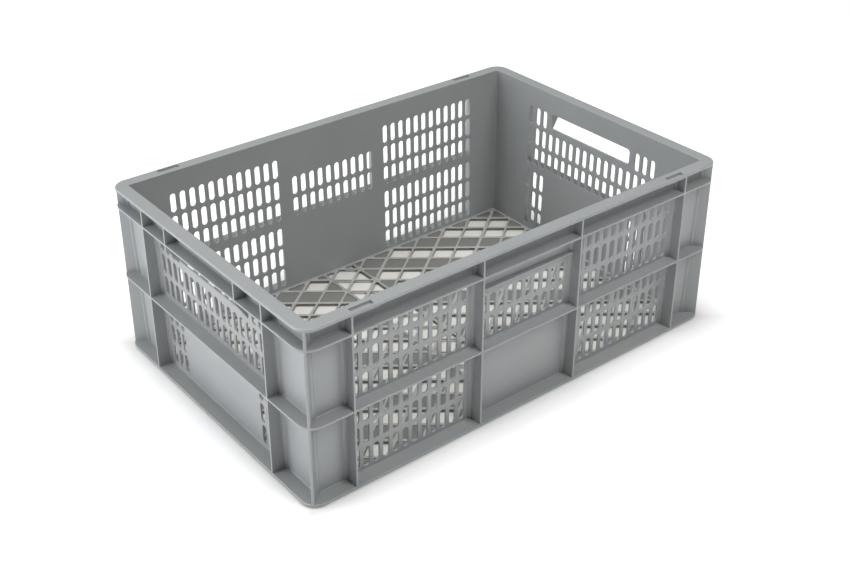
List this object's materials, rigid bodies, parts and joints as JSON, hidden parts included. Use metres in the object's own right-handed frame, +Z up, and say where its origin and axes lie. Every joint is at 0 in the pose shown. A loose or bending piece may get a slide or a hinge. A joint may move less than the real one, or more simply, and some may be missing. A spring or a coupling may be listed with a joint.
{
  "type": "stacking crate",
  "caption": "Open-top ventilated plastic stacking crate with slotted ribbed walls, hand-holes in both ends and a diamond-lattice base.",
  "frame": {"origin": "on the ground under the middle of the crate", "axes": "+X along the long side, +Y along the short side, +Z up"},
  "size_m": [0.6, 0.4, 0.22],
  "materials": {
    "grey_plastic": "satin moulded polyethylene with a fine grain"
  },
  "bodies": {
    "root": {"rim_front": "grey_plastic", "rim_right": "grey_plastic", "rim_rear": "grey_plastic", "rim_left": "grey_plastic", "wall_front": "grey_plastic", "wall_right": "grey_plastic", "wall_rear": "grey_plastic", "wall_left": "grey_plastic", "wall_shoulders_right": "grey_plastic", "wall_shoulders_left": "grey_plastic", "grip_bar_right": "grey_plastic", "grip_bar_left": "grey_plastic", "upper_ledge_front": "grey_plastic", "upper_ledge_right": "grey_plastic", "upper_ledge_rear": "grey_plastic", "upper_ledge_left": "grey_plastic", "middle_ledge_front": "grey_plastic", "middle_ledge_right": "grey_plastic", "middle_ledge_rear": "grey_plastic", "middle_ledge_left": "grey_plastic", "flange_front": "grey_plastic", "flange_right": "grey_plastic", "flange_rear": "grey_plastic", "flange_left": "grey_plastic", "panel_ledge_front": "grey_plastic", "panel_ledge_rear": "grey_plastic", "front_rib_1": "grey_plastic", "front_rib_2": "grey_plastic", "front_rib_3": "grey_plastic", "front_rib_4": "grey_plastic", "rear_rib_1": "grey_plastic", "rear_rib_2": "grey_plastic", "rear_rib_3": "grey_plastic", "rear_rib_4": "grey_plastic", "right_rib_1": "grey_plastic", "right_rib_2": "grey_plastic", "left_rib_1": "grey_plastic", "left_rib_2": "grey_plastic", "grip_ribs_right": "grey_plastic", "grip_ribs_left": "grey_plastic", "grip_gussets_right": "grey_plastic", "grip_gussets_left": "grey_plastic", "corner_fin_front_right": "grey_plastic", "corner_fin_rear_right": "grey_plastic", "corner_fin_rear_left": "grey_plastic", "corner_fin_front_left": "grey_plastic", "base_border_front": "grey_plastic", "base_border_right": "grey_plastic", "base_border_rear": "grey_plastic", "base_border_left": "grey_plastic", "base_web": "grey_plastic", "base_beams": "grey_plastic", "base_lattice_left": "grey_plastic", "base_lattice_middle": "grey_plastic", "base_lattice_right": "grey_plastic"}
  },
  "joints": []
}
